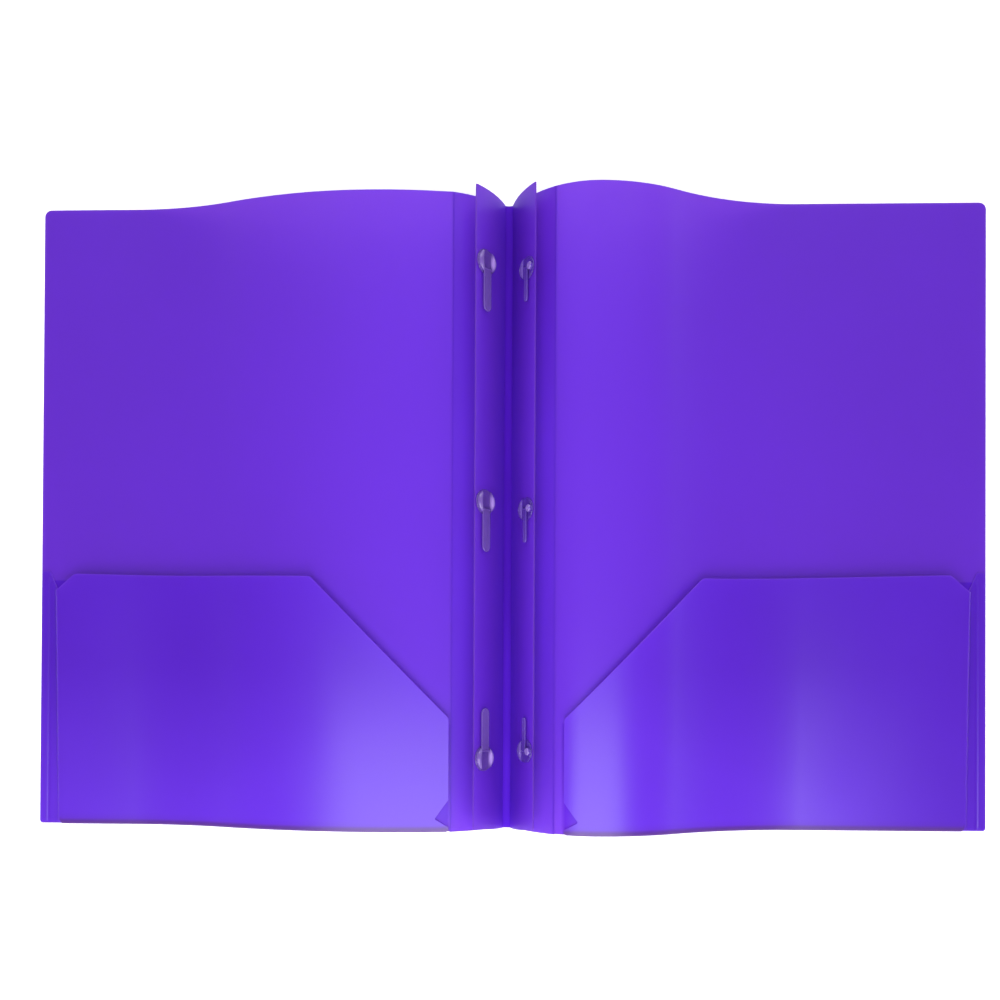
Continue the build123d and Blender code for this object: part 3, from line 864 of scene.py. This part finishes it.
# ---- spine and the strip's welded foot ----------------------------------------
def flat_strip(s, y):
    zero = np.zeros_like(np.asarray(s, float))
    return np.stack([s - SPINE_HALF, y + zero, SPINE_Z + zero], 1), np.stack([zero, zero, zero + 1], 1)


loop = divide([(0, Y0 + 0.2), (2 * SPINE_HALF, Y0 + 0.2), (2 * SPINE_HALF, Y1 - 0.2), (0, Y1 - 0.2)], 4.0)
data = sheet_mesh(flat_strip, [loop], np.arange(0.7, 2 * SPINE_HALF - 0.5, 0.6), y_lines, SHEET, 0.2, hinge=lambda s, y: (s < 1e-6) | (s > 2 * SPINE_HALF - 1e-6))
# painted light: the spine is paler towards the bottom, where the gutter is less in shade
put_sheet("spine_sheet", data, "spine", "spine", FOOT, lambda s, y: np.exp(-np.minimum(s, 2 * SPINE_HALF - s) / 0.5), painted_light=lambda s, y: np.clip((-40 - y) / 80, 0, 1))

# the foot: a flat bar with rounded edges and a shallow pressed weld line
weld = Solid()
rows, pitch = [], 1.7
ring = np.linspace(0, 2 * math.pi, 44, endpoint=False)
ys = np.arange(Y0 + 0.2, Y1 - 0.15, 0.42)
for y in ys:
    mark = 0.5 + 0.5 * math.cos(2 * math.pi * y / pitch)
    row = []
    for a in ring:
        c, k = math.cos(a), math.sin(a)
        x = (WING_HALF + 0.36) * math.copysign(abs(c) ** 0.5, c)
        z = 1.53 + 0.55 * math.copysign(abs(k) ** 0.5, k)
        if k > 0:
            z -= abs(k) ** 0.5 * ((0.06 + 0.03 * mark) * math.exp(-(((x - 0.1) / 0.6) ** 4)) + 0.66 * max(0.0, 1 - (x / (WING_HALF + 0.1)) ** 2))
        row.append((x, y, z))
    rows.append(row)
weld.shell(rows)
verts = np.array(weld.verts)
flat3 = np.stack([verts[:, 0], verts[:, 1], np.zeros(len(verts))], 1) * MM
# painted light: the bar is paler towards the bottom, where the gutter is less in shade
finish_mesh("strip_weld_bar", verts, outward(verts, weld.faces), "spine", "strip_weld", FOOT, attrs={"flat": flat3, "rim": np.zeros(len(verts)), "crease": np.zeros(len(verts)), "painted_shade": np.zeros(len(verts)), "painted_light": np.clip((-40 - verts[:, 1]) / 80, 0, 1)}, sharp=60)

# ---- floor, lights, camera -----------------------------------------------------
scene = bpy.context.scene
scene.view_settings.view_transform = "Standard"

me = bpy.data.meshes.new("floor")
w = 40.0
me.from_pydata([(-w, -w, -0.0002), (w, -w, -0.0002), (w, w, -0.0002), (-w, w, -0.0002)], [], [(0, 1, 2, 3)])
floor = bpy.data.objects.new("floor", me)
scene.collection.objects.link(floor)
m, t, p = nodes_of("pale_floor")
p.inputs["Base Color"].default_value = (0.97, 0.97, 0.97, 1.0)
p.inputs["Roughness"].default_value = 0.9
p.inputs["Specular IOR Level"].default_value = 0.0
p.inputs["Emission Color"].default_value = (1.0, 1.0, 1.0, 1.0)
p.inputs["Emission Strength"].default_value = 0.33
me.materials.append(m)

world = bpy.data.worlds.new("studio")
scene.world = world
world.use_nodes = True
sky = world.node_tree
back = sky.nodes["Background"]
back.inputs["Color"].default_value = (1.0, 1.0, 1.0, 1.0)
# an even studio dome, dimmer overhead
way = add(sky, "ShaderNodeTexCoord").outputs["Generated"]
wide = add(sky, "ShaderNodeVectorMath", operation="MULTIPLY")
wide.inputs[1].default_value = (0.5, 1.0, 1.0)
sky.links.new(way, wide.inputs[0])
unit = add(sky, "ShaderNodeVectorMath", operation="NORMALIZE")
sky.links.new(wide.outputs[0], unit.inputs[0])
up = add(sky, "ShaderNodeVectorMath", operation="DOT_PRODUCT")
sky.links.new(unit.outputs[0], up.inputs[0])
up.inputs[1].default_value = (0.0, 0.173648, 0.984808)
rim_light = ranged(sky, up.outputs["Value"], math.cos(math.radians(58)), math.cos(math.radians(42)), 1.5, 0.26)
top_light = ranged(sky, up.outputs["Value"], math.cos(math.radians(24)), math.cos(math.radians(8)), 0.0, 0.16)
sky.links.new(math_node(sky, "ADD", rim_light, top_light), back.inputs["Strength"])


def area(name, at, to, size, power, colour=(1.0, 1.0, 1.0)):
    light = bpy.data.lights.new(name, "AREA")
    light.shape = "RECTANGLE"
    light.size, light.size_y = size
    light.energy = power
    light.color = colour
    o = bpy.data.objects.new(name, light)
    scene.collection.objects.link(o)
    o.location = at
    o.rotation_euler = (Vector(to) - Vector(at)).to_track_quat("-Z", "Y").to_euler()
    return o


area("front_soft", (-0.004, -0.45, 0.633), (-0.004, -0.078, 0.0), (0.698, 0.58), 6.8)
area("back_soft", (0.0, 1.2, 0.95), (0, 0, 0), (1.6, 0.6), 11.0)

cam = bpy.data.cameras.new("camera")
cam.sensor_width = 36.0
cam.lens = 36.0 * 942.0415 / 1000.0
cam.shift_x = 0.00045
cam.shift_y = 0.17
cam.clip_start, cam.clip_end = 0.01, 20.0
eye = bpy.data.objects.new("camera", cam)
scene.collection.objects.link(eye)
eye.location = (0.0083407, -0.0750645, 0.4393768)
eye.rotation_euler = (0.007655, 0.026935, 0.004898)
scene.camera = eye
